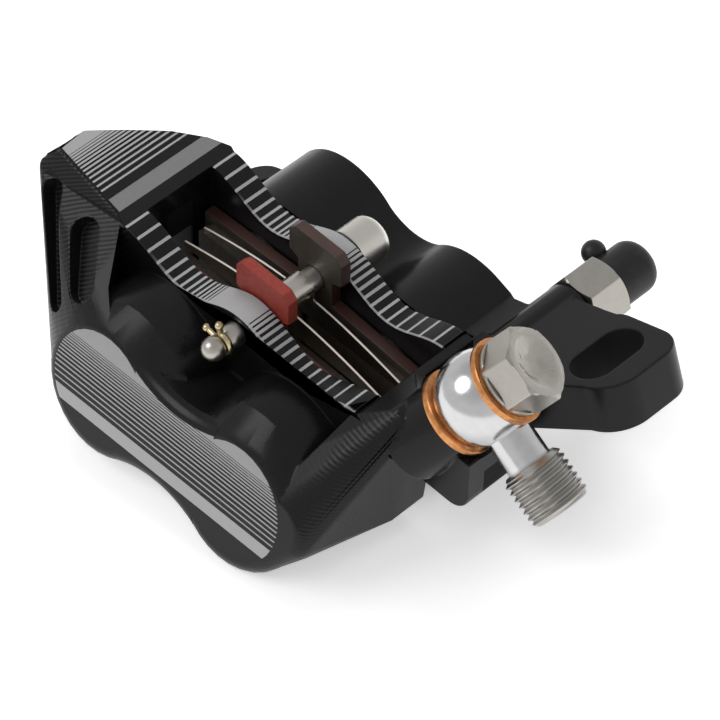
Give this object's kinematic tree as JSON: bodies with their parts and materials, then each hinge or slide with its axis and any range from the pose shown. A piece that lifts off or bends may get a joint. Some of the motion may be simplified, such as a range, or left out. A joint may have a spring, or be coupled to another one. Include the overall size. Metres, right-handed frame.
{
  "type": "bicycle disc brake caliper",
  "caption": "Post-mount bicycle disc brake caliper: one-piece body with opposed pistons, sprung pads on a pin, swivelling banjo hose fitting and bleed screw with rubber cap.",
  "frame": {"origin": "midpoint between the two mounting slots, on the plane of the ears' mating faces", "axes": "+X from the slot on the closed end towards the slot on the hose end, +Y across the disc towards the capped side, +Z along the mounting bolts, away from the frame's posts"},
  "size_m": [0.0937, 0.0691, 0.0448],
  "materials": {
    "anodised_body": "black anodised, satin, with bright etched lines",
    "anodised_cap": "black anodised",
    "seal_rubber": "square-cut rubber ring",
    "piston_steel": "ground",
    "pad_paint": "red paint",
    "pad_friction": "sintered",
    "spring_steel": "bright strip",
    "titanium": "machined, warm grey",
    "clip_wire": "drawn wire",
    "polished_alloy": "polished",
    "copper": "soft copper",
    "cap_rubber": "moulded rubber"
  },
  "bodies": {
    "body": {"caliper_body": "anodised_body", "bore_cap_left": "anodised_cap", "bore_cap_right": "anodised_cap", "cap_seal_left": "seal_rubber", "cap_seal_right": "seal_rubber", "near_seal_left": "seal_rubber", "near_seal_right": "seal_rubber", "far_seal_left": "seal_rubber", "far_seal_right": "seal_rubber", "pad_spring": "spring_steel", "pad_pin": "titanium", "pin_clip": "clip_wire", "banjo_bolt": "titanium", "banjo_washer_inner": "copper", "banjo_washer_outer": "copper"},
    "near_pad": {"near_pad_plate": "pad_paint", "near_pad_friction": "pad_friction"},
    "far_pad": {"far_pad_plate": "pad_paint", "far_pad_friction": "pad_friction"},
    "near_left_piston": {"near_piston_left": "piston_steel"},
    "near_right_piston": {"near_piston_right": "piston_steel"},
    "far_left_piston": {"far_piston_left": "piston_steel"},
    "far_right_piston": {"far_piston_right": "piston_steel"},
    "banjo": {"banjo_fitting": "polished_alloy"},
    "bleed_screw": {"bleed_screw": "titanium"},
    "bleed_cap": {"bleed_cap": "cap_rubber"}
  },
  "joints": [
    {"name": "near_pad_press", "type": "slide", "parent": "body", "child": "near_pad", "axis": [0, 1, 0], "range_m": [0, 0.00125], "stiffness_N_per_m": 1000},
    {"name": "far_pad_press", "type": "slide", "parent": "body", "child": "far_pad", "axis": [0, -1, 0], "range_m": [0, 0.00125]},
    {"name": "near_left_piston_press", "type": "slide", "parent": "body", "child": "near_left_piston", "axis": [0, 1, 0], "range_m": [0, 0.00125]},
    {"name": "near_right_piston_press", "type": "slide", "parent": "body", "child": "near_right_piston", "axis": [0, 1, 0], "range_m": [0, 0.00125]},
    {"name": "far_left_piston_press", "type": "slide", "parent": "body", "child": "far_left_piston", "axis": [0, -1, 0], "range_m": [0, 0.00125]},
    {"name": "far_right_piston_press", "type": "slide", "parent": "body", "child": "far_right_piston", "axis": [0, -1, 0], "range_m": [0, 0.00125]},
    {"name": "banjo_swivel", "type": "hinge", "parent": "body", "child": "banjo", "pos_m": [0.03515, -0.02022, 0.01303], "axis": [0.7069, 0.454, 0.5424], "range_deg": [-60, 15]},
    {"name": "bleed_screw_turn", "type": "hinge", "parent": "body", "child": "bleed_screw", "pos_m": [0.02142, 0.0095, 0.00369], "axis": [0, 1, 0], "range_deg": [0, 180]},
    {"name": "bleed_cap_pull", "type": "slide", "parent": "bleed_screw", "child": "bleed_cap", "axis": [0, 1, 0], "range_m": [0, 0.009]}
  ],
  "couplings": [
    {"joint": "far_pad_press", "follows": "near_pad_press", "ratio": 1},
    {"joint": "near_left_piston_press", "follows": "near_pad_press", "ratio": 1},
    {"joint": "near_right_piston_press", "follows": "near_pad_press", "ratio": 1},
    {"joint": "far_left_piston_press", "follows": "near_pad_press", "ratio": 1},
    {"joint": "far_right_piston_press", "follows": "near_pad_press", "ratio": 1}
  ]
}
